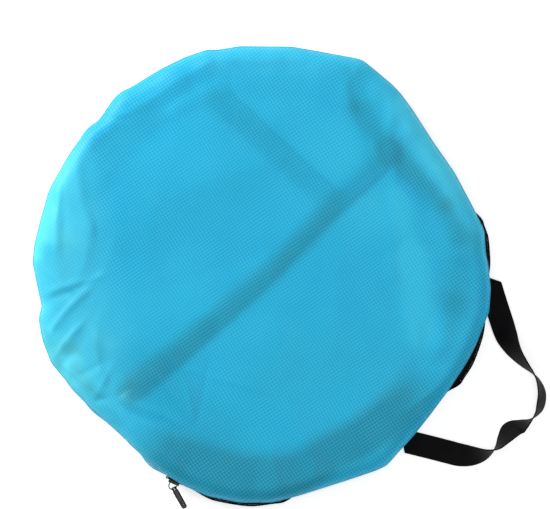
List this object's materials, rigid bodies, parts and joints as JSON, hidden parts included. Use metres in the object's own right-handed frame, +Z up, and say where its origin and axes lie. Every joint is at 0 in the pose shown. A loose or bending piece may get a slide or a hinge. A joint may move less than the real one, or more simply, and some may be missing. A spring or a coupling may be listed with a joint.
{
  "type": "pop-up tent",
  "caption": "Pop-up tent folded flat in its round sheer zipped carrying bag, with sprung hoops inside and a webbing carrying strap.",
  "frame": {"origin": "middle of the bottom panel's underside", "axes": "+Z up through the bag's thickness, +X towards the carrying strap"},
  "size_m": [0.5697, 0.5043, 0.0348],
  "materials": {
    "bag_cloth": "coated sheer ripstop",
    "webbing": "woven polypropylene",
    "zip_tape": "woven tape",
    "zip_coil": "nylon coil",
    "zip_metal": "black enamel",
    "binding_cloth": "woven binding",
    "spring_steel": "drawn wire",
    "ferrule_metal": "crimped tube",
    "tent_cloth": "coated ripstop",
    "floor_cloth": "coated floor cloth",
    "mesh_cloth": "insect mesh",
    "elastic": "woven elastic",
    "pouch_cloth": "coated ripstop",
    "peg_steel": "galvanised wire"
  },
  "bodies": {
    "bag": {"bottom_panel": "bag_cloth", "wall_panel": "bag_cloth", "top_panel_rear": "bag_cloth", "strap_end_upper": "webbing", "strap_end_lower": "webbing", "bottom_seam_binding": "binding_cloth", "top_seam_binding_rear": "binding_cloth", "zip_tape_lower": "zip_tape", "zip_tape_upper_ends": "zip_tape", "zip_coil_lower": "zip_coil", "zip_coil_upper_ends": "zip_coil", "zip_end_stops": "zip_metal", "hoop_front": "spring_steel", "hoop_rear": "spring_steel", "hoop_base_left": "spring_steel", "hoop_base_right": "spring_steel", "hoop_ferrules": "ferrule_metal", "sleeve_front": "binding_cloth", "sleeve_rear": "binding_cloth", "sleeve_base_left": "binding_cloth", "sleeve_base_right": "binding_cloth", "floor_panel_folded": "floor_cloth", "rear_wall_folded": "tent_cloth", "side_wall_folded": "tent_cloth", "mesh_window_folded": "mesh_cloth", "canopy_front_folded": "tent_cloth", "peg_pouch": "pouch_cloth", "tent_pegs": "peg_steel", "retaining_band": "elastic", "binding_strip_wide": "binding_cloth", "binding_strip_narrow": "binding_cloth"},
    "flap": {"top_panel_flap": "bag_cloth", "zip_tape_upper": "zip_tape", "zip_coil_upper": "zip_coil", "top_seam_binding_flap": "binding_cloth"},
    "slider": {"slider_body": "zip_metal", "slider_bail": "zip_metal"},
    "pull": {"pull_tab": "zip_metal"},
    "strap": {"strap_loop": "webbing"}
  },
  "joints": [
    {"name": "slider_travel", "type": "hinge", "parent": "bag", "child": "slider", "pos_m": [0, 0, 0.013], "axis": [0, 0, 1], "range_deg": [0, 174.6]},
    {"name": "pull_swing", "type": "hinge", "parent": "slider", "child": "pull", "pos_m": [0.01158, -0.24553, 0.013], "axis": [0, 0, 1], "range_deg": [-123, 17]},
    {"name": "flap_fold", "type": "hinge", "parent": "bag", "child": "flap", "pos_m": [0.022, 0, 0.0356], "axis": [0, -1, 0], "range_deg": [0, 165]},
    {"name": "strap_swing", "type": "hinge", "parent": "bag", "child": "strap", "pos_m": [0.248, 0, 0.0028], "axis": [0, -1, 0], "range_deg": [0, 90]}
  ]
}
